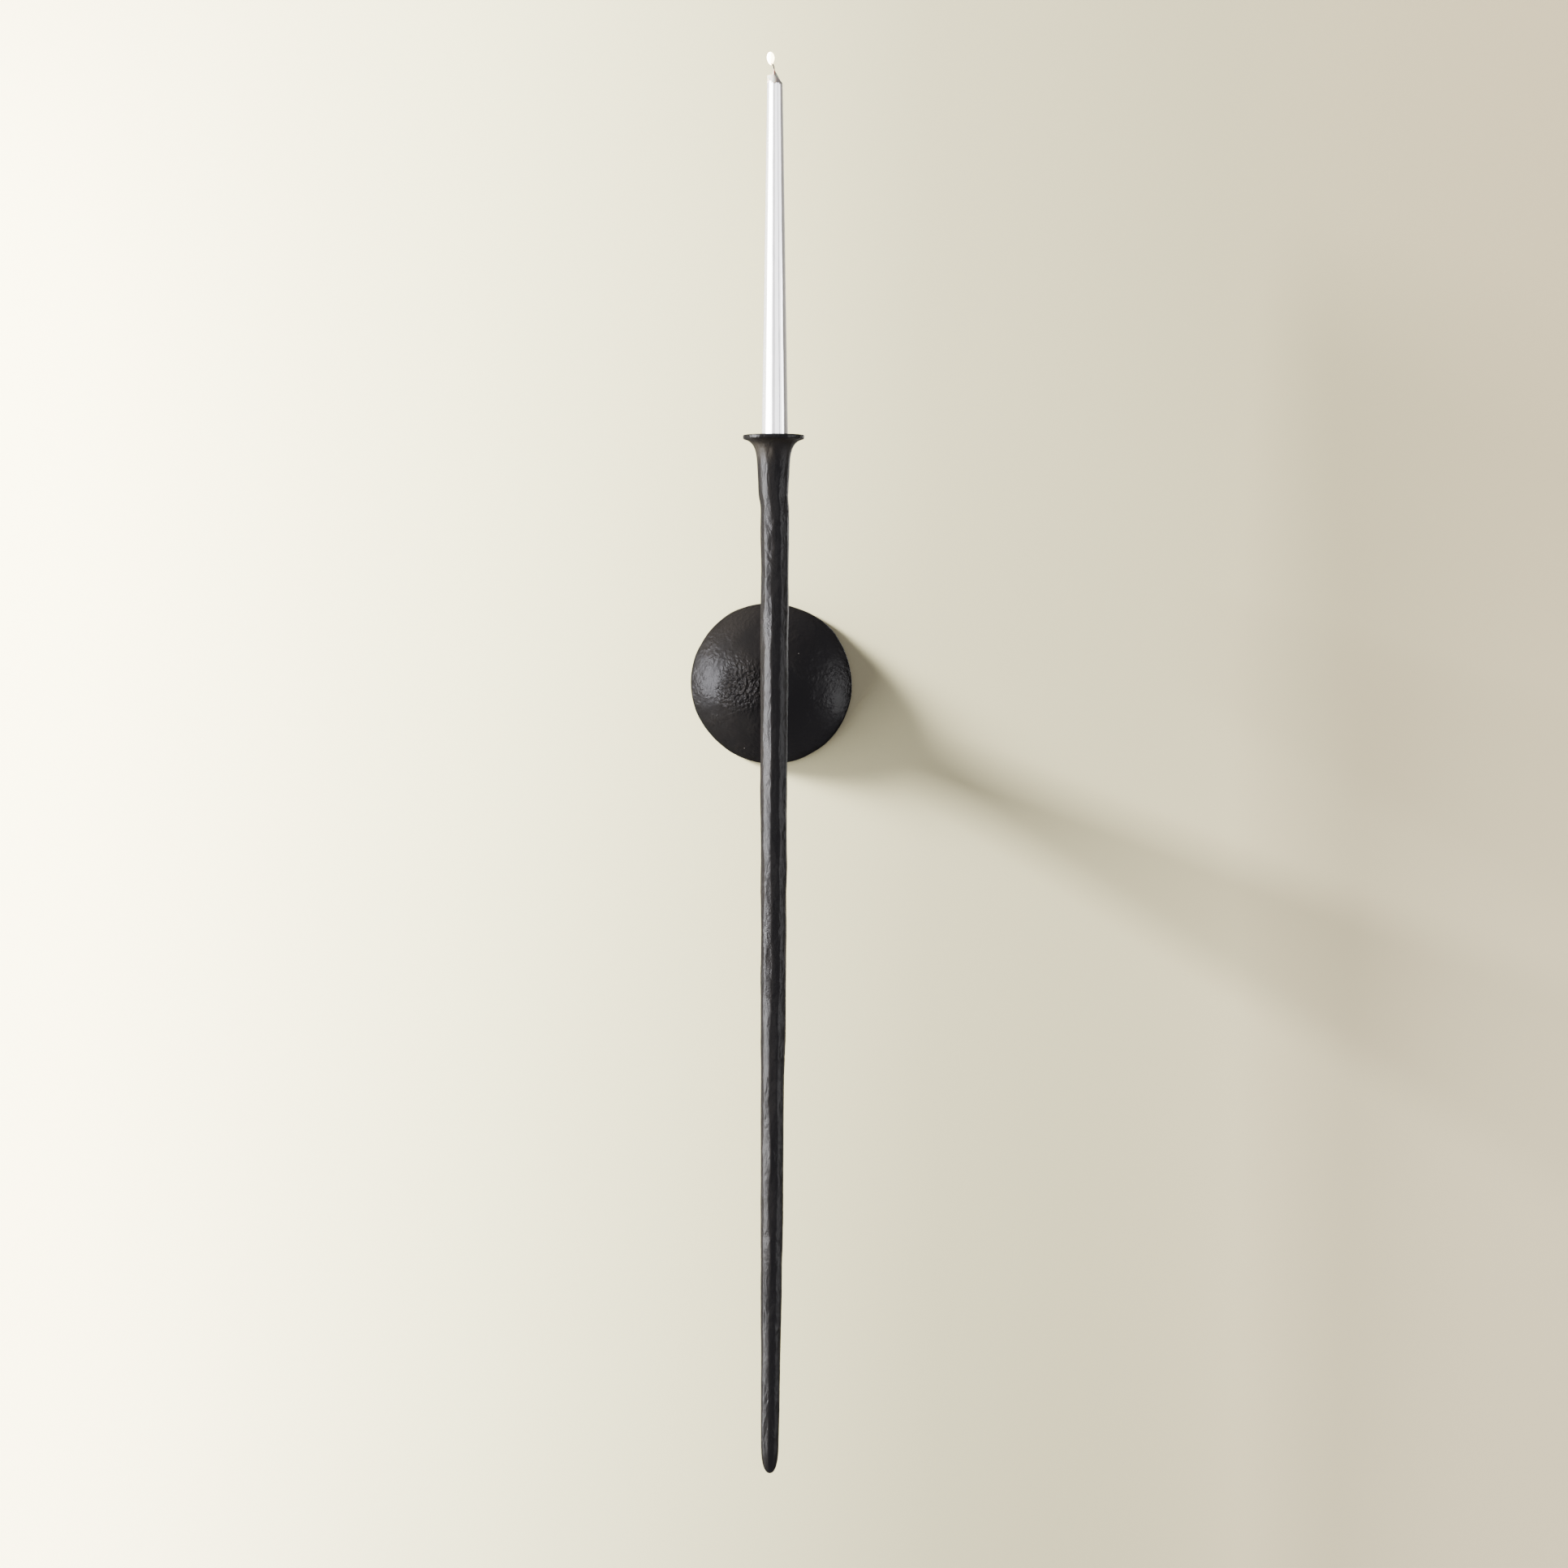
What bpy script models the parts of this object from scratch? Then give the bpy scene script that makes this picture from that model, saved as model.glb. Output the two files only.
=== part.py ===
"""Wall sconce for one taper candle.

A long forged stem with a flared candle cup stands off the wall on an arm. A domed back plate
carries the arm, and hooks over a pressed steel bracket screwed to the wall.

Metres, +Z up, +Y into the wall. The origin is the middle of the bracket's back, on the wall,
level with the arm. Every "depth" is a distance out from the wall, towards -Y.

    blender --background --python part.py
"""
import math

import bmesh
import bpy
from mathutils import Matrix, Vector
from mathutils.geometry import interpolate_bezier

GAP = 0.0003                   # left between pieces that touch

# Domed back plate
DOME_RADIUS = 0.0652
DOME_DEPTH = 0.030
DOME_EDGE = 0.0023             # height of the upright edge that meets the wall
DOME_WALL = 0.004
DOME_MIDDLE = (-0.0023, 0.0018)    # X and Z of the hand-raised rim's middle, off the arm's axis
BOSS_RADIUS = 0.017
BOSS_DEPTH = 0.0195

# Stem and candle cup
STEM_DEPTH = 0.110             # from the wall to the stem's axis
RIM_Z = 0.197
TIP_Z = -0.628
STRAIGHT_SIDE = 0.0107         # the stem's left side is straight, and the taper is on its right
# Height and radius where the forged taper changes, from the blunt tip to the neck
ROD_STATIONS = [
    (-0.605, 0.0070), (-0.554, 0.0075), (-0.489, 0.0081), (-0.425, 0.00875),
    (-0.315, 0.0091), (-0.284, 0.0097), (-0.167, 0.0101), (-0.102, 0.0102),
    (0.068, 0.01095), (0.142, 0.0111),
]
SHOULDER_Z = 0.174             # where the cup's slow swell turns into its flare
SHOULDER = 0.0131
LIP_RADIUS = 0.0245
LIP_HEIGHT = 0.0034
LIP_THICKNESS = 0.0019
CUP_SHIFT = -0.0007            # the cup stands this far off the axis along X
CUP_BOTTOM_Z = 0.138           # below this the rod is in line again
CUP_TOP_Z = 0.150
DISH_DEPTH = 0.014             # from the rim down to the mouth of the socket
SOCKET_MOUTH = 0.0108
SOCKET_FLOOR = 0.0103
SOCKET_DEPTH = 0.030           # from the rim down to the socket's floor

# Arm, an upright oval in section
ARM_WIDTH = 0.018
ARM_HEIGHT_AT_DOME = 0.040
ARM_HEIGHT_AT_WAIST = 0.032
ARM_HEIGHT_AT_STEM = 0.036

# Candle
CANDLE_X = 0.0004
CANDLE_FOOT = 0.0099
CANDLE_AT_MOUTH = 0.0104
CANDLE_AT_RIM = 0.01034
CANDLE_SHOULDER_Z = 0.477
CANDLE_SHOULDER = 0.0062
CANDLE_TIP_Z = 0.487
WICK_RADIUS = 0.00065
WICK_TOP_Z = 0.4925

# M6 hardware and the pin that stops the parts turning on each other
STUD_RADIUS = 0.003
STUD_HOLE = 0.0035
STUD_FRONT = STEM_DEPTH + 0.0015
STUD_BACK = 0.006
WASHER_RADIUS = 0.00625
WASHER_THICKNESS = 0.0016
LOCK_WASHER_RADIUS = 0.0059
NUT_ACROSS_FLATS = 0.010
NUT_HEIGHT = 0.005
PIN_RADIUS = 0.0015
PIN_HOLE = 0.0019
PIN_Z = -0.011
PIN_BACK = 0.0150
PIN_FRONT = 0.0340

# Hanger strap and wall bracket, both bent from 2.5 mm steel
SHEET = 0.0025
BEND = 0.0008                  # inside radius of every bend
BEND_STEPS = 4
HANGER_WIDTH = 0.032
HANGER_BOTTOM_Z = -0.017
SHELF_Z = 0.0188               # underside of the hanger's shelf
SHELF_BACK = 0.0067
BRACKET_WIDTH = 0.034
BRACKET_BOTTOM_Z = -0.036
BRACKET_SHOULDER_Z = 0.012     # above this the strip narrows to the hook
HOOK_WIDTH = 0.022
HOOK_TOP_Z = 0.0265
HOOK_DEPTH = 0.0130            # front of the hook's finger
SCREW_HOLE = 0.0026
SCREW_HOLES = [(-0.0095, 0.007), (0.0095, 0.007), (0.0, -0.028)]

ROUND_STEPS = 32
DOME_STEPS = 56
SMALL_STEPS = 20

X_AXIS = Vector((1, 0, 0))
Y_AXIS = Vector((0, 1, 0))
Z_AXIS = Vector((0, 0, 1))


def clear_scene():
    for obj in list(bpy.data.objects):
        bpy.data.objects.remove(obj)


def finish(name, colour, roughness, metallic):
    """A Principled material of one colour."""
    mat = bpy.data.materials.new(name)
    mat.use_nodes = True
    shader = mat.node_tree.nodes["Principled BSDF"]
    shader.inputs["Base Color"].default_value = (*colour, 1.0)
    shader.inputs["Roughness"].default_value = roughness
    shader.inputs["Metallic"].default_value = metallic
    return mat


def axis_empty(name, place, parent=None):
    """An empty on a joint's axis, which the moving pieces hang from."""
    empty = bpy.data.objects.new(name, None)
    bpy.context.collection.objects.link(empty)
    empty.parent = parent
    empty.location = Vector(place) - (parent.location if parent else Vector())
    return empty


def world_place(obj):
    """An object's place in the world, before the scene's matrices are worked out."""
    place = Vector()
    while obj:
        place += obj.location
        obj = obj.parent
    return place


def piece(name, bm, mat, place=(0, 0, 0), parent=None, smooth_angle=35):
    """Make an object from a mesh modelled in the world's frame, with its origin at place."""
    bmesh.ops.translate(bm, verts=bm.verts, vec=-Vector(place))
    mesh = bpy.data.meshes.new(name)
    bm.to_mesh(mesh)
    bm.free()
    mesh.shade_smooth()
    mesh.set_sharp_from_angle(angle=math.radians(smooth_angle))
    mesh.materials.append(mat)
    obj = bpy.data.objects.new(name, mesh)
    bpy.context.collection.objects.link(obj)
    obj.parent = parent
    obj.location = Vector(place) - world_place(parent)
    return obj


def cut(obj, bm, label, operation="DIFFERENCE"):
    """Cut an object with a mesh, through a Boolean whose cutter is a hidden guide."""
    mesh = bpy.data.meshes.new(f"{obj.name}_{label}")
    bm.to_mesh(mesh)
    bm.free()
    cutter = bpy.data.objects.new(mesh.name, mesh)
    bpy.context.collection.objects.link(cutter)
    cutter.hide_render = True
    cutter.display_type = "WIRE"
    modifier = obj.modifiers.new(label, "BOOLEAN")
    modifier.object = cutter
    modifier.operation = operation
    modifier.solver = "EXACT"


def turned(outline, axis, steps, closed=False):
    """Spin an outline of (radius, place along the axis) once round the Z or the Y axis."""
    bm = bmesh.new()
    verts = [bm.verts.new(X_AXIS * radius + axis * along) for radius, along in outline]
    edges = [bm.edges.new(pair) for pair in zip(verts, verts[1:])]
    if closed:
        edges.append(bm.edges.new((verts[-1], verts[0])))
    bmesh.ops.spin(bm, geom=verts + edges, axis=axis, cent=(0, 0, 0), dvec=(0, 0, 0),
                   angle=math.tau, steps=steps, use_merge=True, use_duplicate=False)
    bmesh.ops.remove_doubles(bm, verts=bm.verts, dist=1e-6)
    bmesh.ops.recalc_face_normals(bm, faces=bm.faces)
    return bm


def moved(bm, x=0.0, y=0.0, z=0.0):
    bmesh.ops.translate(bm, verts=bm.verts, vec=(x, y, z))
    return bm


def rod_along_y(radius, front, back, steps=SMALL_STEPS, chamfer=0.0):
    """A round rod between two depths, with its ends chamfered."""
    outline = [(0, -front), (radius - chamfer, -front), (radius, -front + chamfer),
               (radius, -back - chamfer), (radius - chamfer, -back), (0, -back)]
    return turned(outline, Y_AXIS, steps)


def ring_along_y(outer, inner, front, back, steps=SMALL_STEPS):
    outline = [(inner, -front), (outer, -front), (outer, -back), (inner, -back)]
    return turned(outline, Y_AXIS, steps, closed=True)


def block(x_range, y_range, z_range):
    """A box between two values on each axis."""
    bm = bmesh.new()
    bmesh.ops.create_cube(bm, size=1.0)
    spans = [hi - lo for lo, hi in (x_range, y_range, z_range)]
    middle = [(hi + lo) / 2 for lo, hi in (x_range, y_range, z_range)]
    bmesh.ops.scale(bm, verts=bm.verts, vec=spans)
    bmesh.ops.translate(bm, verts=bm.verts, vec=middle)
    return bm


def curve_points(start, start_handle, end_handle, end, count):
    """Points along a Bezier curve in the plane of an outline."""
    knots = [Vector((*p, 0)) for p in (start, start_handle, end_handle, end)]
    return [(p.x, p.y) for p in interpolate_bezier(*knots, count)]


def bent_strip(path, width, corner):
    """A strip of sheet steel along a path of (depth, height), with square bends.

    The path is the strip's front face, from its bottom end, and the thickness lies behind it.
    The bottom end's corners are rounded.
    """
    points = [Vector((-depth, height)) for depth, height in path]
    outline = strip_side(points, 0.0) + strip_side(points, SHEET)[::-1]
    bm = bmesh.new()
    face = bm.faces.new([bm.verts.new((-width / 2, y, z)) for y, z in outline])
    grown = bmesh.ops.extrude_face_region(bm, geom=[face])["geom"]
    far_side = [v for v in grown if isinstance(v, bmesh.types.BMVert)]
    bmesh.ops.translate(bm, verts=far_side, vec=(width, 0, 0))
    bmesh.ops.recalc_face_normals(bm, faces=bm.faces)
    bottom = path[0][1]
    corners = [edge for edge in bm.edges
               if all(abs(v.co.z - bottom) < 1e-6 for v in edge.verts)
               and abs(edge.verts[0].co.x - edge.verts[1].co.x) < 1e-6]
    bmesh.ops.bevel(bm, geom=corners, offset=corner, segments=4, profile=0.5,
                    affect="EDGES", material=-1)
    return bm


def strip_side(points, thickness):
    """One side of a bent strip: its straight runs, with an arc at each bend.

    The side lies the given thickness to the right of the points, as seen along the path.
    """
    first, last = points[1] - points[0], points[-1] - points[-2]
    side = [points[0] + right_of(first) * thickness]
    for before, point, after in zip(points, points[1:], points[2:]):
        run_in = (point - before).normalized()
        run_out = (after - point).normalized()
        turn = math.copysign(1.0, run_in.x * run_out.y - run_in.y * run_out.x)
        radius = BEND if turn > 0 else BEND + SHEET
        centre = point + (run_out - run_in) * radius
        for step in range(BEND_STEPS + 1):
            angle = math.pi / 2 * step / BEND_STEPS
            outwards = run_in * math.sin(angle) - run_out * math.cos(angle)
            side.append(centre + outwards * (radius + turn * thickness))
    return side + [points[-1] + right_of(last) * thickness]


def right_of(run):
    """The direction to the right of a run, square to it."""
    return Vector((run.y, -run.x)).normalized()


def rod_radius(z):
    """The stem's radius at a height, between the stations of its taper."""
    for (z0, r0), (z1, r1) in zip(ROD_STATIONS, ROD_STATIONS[1:]):
        if z <= z1:
            share = max(0.0, (z - z0) / (z1 - z0))
            return r0 + (r1 - r0) * share
    return ROD_STATIONS[-1][1]


def stem_sway(z, radius):
    """How far a ring of the stem is off the axis, along X. The socket stays true to the candle."""
    depth = RIM_Z - z
    inside = depth < SOCKET_DEPTH + 1e-6 and radius < 0.0105 + 0.013 * math.exp(-depth / 0.0075)
    if inside:
        share = min(1.0, max(0.0, 1 - depth / DISH_DEPTH))
        return CANDLE_X + (CUP_SHIFT - CANDLE_X) * share
    rod = rod_radius(z) - STRAIGHT_SIDE
    share = min(1.0, max(0.0, (z - CUP_BOTTOM_Z) / (CUP_TOP_Z - CUP_BOTTOM_Z)))
    return rod + (CUP_SHIFT - rod) * share


def make_stem(mat, parent):
    """The forged rod and its flared cup, one piece, with a socket for the candle's foot."""
    neck_z, neck = ROD_STATIONS[-1]
    end_z, end = ROD_STATIONS[0]
    lip_z = RIM_Z - LIP_HEIGHT
    tip = curve_points((0, TIP_Z), (0.0056, TIP_Z), (end, end_z - 0.010), (end, end_z), 7)
    rod = [(radius, z) for z, radius in ROD_STATIONS[1:-1]]
    swell = curve_points((neck, neck_z), (0.0117, neck_z + 0.010),
                         (SHOULDER - 0.0006, SHOULDER_Z - 0.009), (SHOULDER, SHOULDER_Z), 5)
    flare = curve_points((SHOULDER, SHOULDER_Z), (0.0136, SHOULDER_Z + 0.0115),
                         (0.0162, RIM_Z - 0.005), (LIP_RADIUS - 0.0002, lip_z), 10)
    lip = [(LIP_RADIUS, lip_z + 0.0006), (LIP_RADIUS, RIM_Z - 0.0006), (LIP_RADIUS - 0.0006, RIM_Z)]
    dish = curve_points((LIP_RADIUS - LIP_THICKNESS, RIM_Z), (0.0146, RIM_Z - 0.0025),
                        (0.0120, RIM_Z - 0.0060), (SOCKET_MOUTH, RIM_Z - DISH_DEPTH), 8)
    floor_z = RIM_Z - SOCKET_DEPTH
    outline = tip + rod + swell + flare[1:] + lip + dish + [(SOCKET_FLOOR, floor_z), (0, floor_z)]
    bm = turned(outline, Z_AXIS, ROUND_STEPS)
    for vert in bm.verts:
        vert.co.x += stem_sway(vert.co.z, math.hypot(vert.co.x, vert.co.y))
    moved(bm, y=-STEM_DEPTH)
    obj = piece("stem", bm, mat, (0, -STEM_DEPTH, 0), parent)
    back_of_stem = STEM_DEPTH - 1.5 * rod_radius(0)
    cut(obj, rod_along_y(STUD_HOLE, STUD_FRONT + GAP, back_of_stem), "stud_hole")


def oval_ring(bm, depth, height):
    """A ring of edges round the arm at one depth, and its height there."""
    ring = bmesh.ops.create_circle(bm, radius=1.0, segments=ROUND_STEPS)["verts"]
    bmesh.ops.rotate(bm, verts=ring, matrix=Matrix.Rotation(math.pi / 2, 3, "X"))
    bmesh.ops.scale(bm, verts=ring, vec=(ARM_WIDTH / 2, 1, height / 2))
    bmesh.ops.translate(bm, verts=ring, vec=(0, -depth, 0))
    return list({edge for vert in ring for edge in vert.link_edges})


def make_arm(mat, parent):
    """The stand-off between the dome and the stem, scooped at both ends to fit them."""
    dome_end = DOME_DEPTH - 0.006
    stem_end = STEM_DEPTH - 0.004
    waist = (dome_end + stem_end) / 2
    sections = [(dome_end, ARM_HEIGHT_AT_DOME), (waist, ARM_HEIGHT_AT_WAIST),
                (stem_end, ARM_HEIGHT_AT_STEM)]
    bm = bmesh.new()
    rings = [oval_ring(bm, depth, height) for depth, height in sections]
    for near, far in zip(rings, rings[1:]):
        bmesh.ops.bridge_loops(bm, edges=near + far)
    bmesh.ops.holes_fill(bm, edges=rings[0] + rings[-1], sides=ROUND_STEPS)
    bmesh.ops.recalc_face_normals(bm, faces=bm.faces)
    obj = piece("arm", bm, mat, (0, 0, 0), parent)
    cut(obj, dome_cap(DOME_DEPTH + GAP, DOME_STEPS), "dome_seat")
    saddle = turned([(0, -0.03), (rod_radius(0) + 0.0005, -0.03),
                     (rod_radius(0) + 0.0005, 0.03), (0, 0.03)], Z_AXIS, ROUND_STEPS)
    cut(obj, moved(saddle, y=-STEM_DEPTH), "stem_saddle")
    cut(obj, rod_along_y(STUD_HOLE, STEM_DEPTH, BOSS_DEPTH), "stud_bore")
    pin_hole = rod_along_y(PIN_HOLE, PIN_FRONT + GAP, BOSS_DEPTH)
    cut(obj, moved(pin_hole, z=PIN_Z), "pin_hole")


def dome_ball():
    """Radius of the dome's sphere, and how far its centre is behind the wall's face."""
    rise = DOME_DEPTH - DOME_EDGE
    radius = (DOME_RADIUS ** 2 + rise ** 2) / (2 * rise)
    return radius, radius - DOME_DEPTH


def ball_arc(radius, centre, inner, outer, count):
    """Points on a sphere behind the wall's face, from one distance off its axis to another."""
    first, last = math.asin(inner / radius), math.asin(outer / radius)
    angles = [first + (last - first) * i / (count - 1) for i in range(count)]
    return [(radius * math.sin(a), centre - radius * math.cos(a)) for a in angles]


def dome_cap(depth, steps):
    """A solid cap as deep as given, which stands for the dome's outside where it cuts the arm."""
    radius, centre = dome_ball()
    arc = ball_arc(radius + depth - DOME_DEPTH, centre, 0, DOME_RADIUS / 2, 7)
    bm = turned(arc + [(DOME_RADIUS / 2, 0), (0, 0)], Y_AXIS, steps)
    return moved(bm, x=DOME_MIDDLE[0], z=DOME_MIDDLE[1])


def make_dome(mat, parent):
    """The hollow cast back plate, with a flat boss inside for the hanger strap."""
    radius, centre = dome_ball()
    inner_ball = radius - DOME_WALL
    rim_inner = math.sqrt(inner_ball ** 2 - (centre + GAP) ** 2)
    outer = ball_arc(radius, centre, 0, DOME_RADIUS - 0.0007, 12)
    edge = [(DOME_RADIUS, -DOME_EDGE + 0.0007), (DOME_RADIUS, -GAP - 0.0005),
            (DOME_RADIUS - 0.0005, -GAP)]
    inner = ball_arc(inner_ball, centre, BOSS_RADIUS, rim_inner, 8)[::-1]
    boss = [(BOSS_RADIUS - 0.0005, -BOSS_DEPTH), (0, -BOSS_DEPTH)]
    bm = turned(outer + edge + inner + boss, Y_AXIS, DOME_STEPS)
    moved(bm, x=DOME_MIDDLE[0], z=DOME_MIDDLE[1])
    obj = piece("dome_back_plate", bm, mat, (DOME_MIDDLE[0], 0, DOME_MIDDLE[1]), parent)
    cut(obj, rod_along_y(STUD_HOLE, DOME_DEPTH + 0.01, BOSS_DEPTH - 0.01), "stud_hole")
    pin_hole = rod_along_y(PIN_HOLE, DOME_DEPTH + 0.01, BOSS_DEPTH - 0.01)
    cut(obj, moved(pin_hole, z=PIN_Z), "pin_hole")


def make_hanger(mat, parent):
    """The strap clamped inside the dome, whose slotted shelf drops over the bracket's hook."""
    front = BOSS_DEPTH - GAP
    shelf_top = SHELF_Z + SHEET
    path = [(front, HANGER_BOTTOM_Z), (front, shelf_top), (SHELF_BACK, shelf_top)]
    bm = bent_strip(path, HANGER_WIDTH, 0.008)
    obj = piece("hanger_strap", bm, mat, (0, 0, 0), parent)
    slot = block((-HOOK_WIDTH / 2 - 0.0005, HOOK_WIDTH / 2 + 0.0005),
                 (-HOOK_DEPTH - 0.0005, -HOOK_DEPTH + SHEET + BEND),
                 (SHELF_Z - 0.002, shelf_top + 0.002))
    cut(obj, slot, "hook_slot")
    cut(obj, rod_along_y(STUD_HOLE, front + 0.004, front - 0.006), "stud_hole")
    pin_hole = rod_along_y(PIN_HOLE, front + 0.004, front - 0.006)
    cut(obj, moved(pin_hole, z=PIN_Z), "pin_hole")


def make_bracket(mat):
    """The wall bracket: a flat strip whose narrowed top is bent out and up into a hook."""
    web_top = SHELF_Z - GAP
    path = [(SHEET, BRACKET_BOTTOM_Z), (SHEET, web_top - SHEET),
            (HOOK_DEPTH, web_top - SHEET), (HOOK_DEPTH, HOOK_TOP_Z)]
    bm = bent_strip(path, BRACKET_WIDTH, 0.008)
    obj = piece("wall_bracket", bm, mat)
    for side, label in ((-1, "left_notch"), (1, "right_notch")):
        near, far = side * HOOK_WIDTH / 2, side * BRACKET_WIDTH
        notch = block(sorted((near, far)), (-0.03, 0.01), (BRACKET_SHOULDER_Z, HOOK_TOP_Z + 0.01))
        cut(obj, notch, label)
    for number, (x, z) in enumerate(SCREW_HOLES, 1):
        hole = moved(rod_along_y(SCREW_HOLE, SHEET + 0.004, -0.004), x=x, z=z)
        cut(obj, hole, f"screw_hole_{number}")


def make_hardware(mat, parent):
    """The stud through the arm, and the washers and nut that clamp it inside the dome."""
    stud = rod_along_y(STUD_RADIUS, STUD_FRONT, STUD_BACK, chamfer=0.0006)
    piece("tie_stud", stud, mat, (0, -STUD_BACK, 0), parent)
    pin = rod_along_y(PIN_RADIUS, PIN_FRONT, PIN_BACK, steps=16, chamfer=0.0004)
    piece("locating_pin", moved(pin, z=PIN_Z), mat, (0, -PIN_BACK, PIN_Z), parent)

    front = BOSS_DEPTH - SHEET - 2 * GAP
    back = front - WASHER_THICKNESS
    piece("flat_washer", ring_along_y(WASHER_RADIUS, STUD_HOLE, front, back), mat,
          (0, -front, 0), parent)

    front = back - GAP
    back = front - WASHER_THICKNESS
    obj = piece("lock_washer", ring_along_y(LOCK_WASHER_RADIUS, STUD_HOLE, front, back), mat,
                (0, -front, 0), parent)
    split = block((-0.0005, 0.0005), (-front - 0.002, -back + 0.002), (0.001, 0.01))
    bmesh.ops.rotate(split, verts=split.verts, cent=(0, -(front + back) / 2, 0.005),
                     matrix=Matrix.Rotation(math.radians(20), 3, "Z"))
    cut(obj, split, "split")

    front = back - GAP
    back = front - NUT_HEIGHT
    corner = NUT_ACROSS_FLATS / 2 / math.cos(math.pi / 6)
    nut = rod_along_y(corner, front, back, steps=6)
    obj = piece("stud_nut", nut, mat, (0, -front, 0), parent, smooth_angle=20)
    chamfers = [(0, -front), (corner - 0.0009, -front), (corner + 0.0004, -front + 0.0008),
                (corner + 0.0004, -back - 0.0008), (corner - 0.0009, -back), (0, -back)]
    cut(obj, turned(chamfers, Y_AXIS, 24), "chamfers", "INTERSECT")
    cut(obj, rod_along_y(STUD_HOLE, front + 0.002, back - 0.002), "thread_hole")


def make_candle(wax, cotton, parent):
    """The taper candle, its foot in the socket, and its wick in a small hole at the tip."""
    foot_z = RIM_Z - SOCKET_DEPTH + GAP
    wick_hole = WICK_RADIUS + 0.0004
    wick_foot_z = CANDLE_TIP_Z - 0.0025
    outline = [
        (0, foot_z), (CANDLE_FOOT - 0.001, foot_z), (CANDLE_FOOT, foot_z + 0.001),
        (CANDLE_AT_MOUTH, RIM_Z - DISH_DEPTH), (CANDLE_AT_RIM, RIM_Z),
        (CANDLE_SHOULDER, CANDLE_SHOULDER_Z), (0.0052, CANDLE_SHOULDER_Z + 0.0035),
        (0.0026, CANDLE_TIP_Z - 0.001), (0.0016, CANDLE_TIP_Z), (wick_hole, CANDLE_TIP_Z),
        (wick_hole, wick_foot_z), (0, wick_foot_z),
    ]
    place = (CANDLE_X, -STEM_DEPTH, RIM_Z)
    bm = moved(turned(outline, Z_AXIS, ROUND_STEPS), x=CANDLE_X, y=-STEM_DEPTH)
    piece("candle", bm, wax, place, parent)

    curve = bpy.data.curves.new("wick", "CURVE")
    curve.dimensions = "3D"
    curve.bevel_depth = WICK_RADIUS
    curve.bevel_resolution = 2
    curve.use_fill_caps = True
    rise = WICK_TOP_Z - wick_foot_z - GAP
    spline = curve.splines.new("POLY")
    steps = 6
    spline.points.add(steps)
    for i, point in enumerate(spline.points):
        share = i / steps
        bend = -0.0016 * max(0.0, share - 0.3) ** 2
        point.co = (bend, 0, wick_foot_z + GAP + rise * share - RIM_Z, 1)
    curve.materials.append(cotton)
    wick = bpy.data.objects.new("wick", curve)
    bpy.context.collection.objects.link(wick)
    wick.parent = parent


def main():
    clear_scene()
    iron = finish("black_iron", (0.018, 0.016, 0.015), 0.38, 0.6)
    dome_iron = finish("dome_black_iron", (0.016, 0.014, 0.013), 0.34, 0.6)
    zinc = finish("zinc_plated_steel", (0.55, 0.56, 0.57), 0.35, 1.0)
    sheet_steel = finish("black_sheet_steel", (0.03, 0.03, 0.03), 0.5, 0.5)
    wax = finish("silver_candle_wax", (0.78, 0.78, 0.76), 0.25, 0.9)
    cotton = finish("wick_cotton", (0.06, 0.05, 0.045), 0.9, 0.0)

    make_bracket(sheet_steel)
    hook = axis_empty("sconce_lift_axis", (0, -HOOK_DEPTH + SHEET / 2, 0))
    make_dome(dome_iron, hook)
    make_arm(iron, hook)
    make_stem(iron, hook)
    make_hanger(sheet_steel, hook)
    make_hardware(zinc, hook)
    socket = axis_empty("candle_lift_axis", (CANDLE_X, -STEM_DEPTH, RIM_Z), hook)
    make_candle(wax, cotton, socket)


main()
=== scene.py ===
"""Looks of a forged iron wall sconce with a silver taper candle."""
import math

import bmesh
import bpy
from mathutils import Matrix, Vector, noise
from mathutils.geometry import interpolate_bezier


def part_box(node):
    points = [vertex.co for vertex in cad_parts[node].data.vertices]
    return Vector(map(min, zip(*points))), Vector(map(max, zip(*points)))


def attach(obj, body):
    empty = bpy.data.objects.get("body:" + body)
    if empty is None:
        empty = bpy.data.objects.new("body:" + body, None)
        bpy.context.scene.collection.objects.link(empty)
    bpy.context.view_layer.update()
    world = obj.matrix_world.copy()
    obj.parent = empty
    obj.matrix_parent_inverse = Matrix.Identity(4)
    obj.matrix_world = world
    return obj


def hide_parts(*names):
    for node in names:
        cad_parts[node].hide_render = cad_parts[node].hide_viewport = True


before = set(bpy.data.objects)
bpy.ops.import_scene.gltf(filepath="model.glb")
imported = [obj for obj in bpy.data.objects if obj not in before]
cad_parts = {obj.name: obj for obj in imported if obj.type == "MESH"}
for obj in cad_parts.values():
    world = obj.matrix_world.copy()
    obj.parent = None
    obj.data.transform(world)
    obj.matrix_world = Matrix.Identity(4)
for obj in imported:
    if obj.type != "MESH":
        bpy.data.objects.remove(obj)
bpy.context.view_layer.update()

MM = 0.001
X_AXIS = Vector((1, 0, 0))
Y_AXIS = Vector((0, 1, 0))
Z_AXIS = Vector((0, 0, 1))

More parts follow.
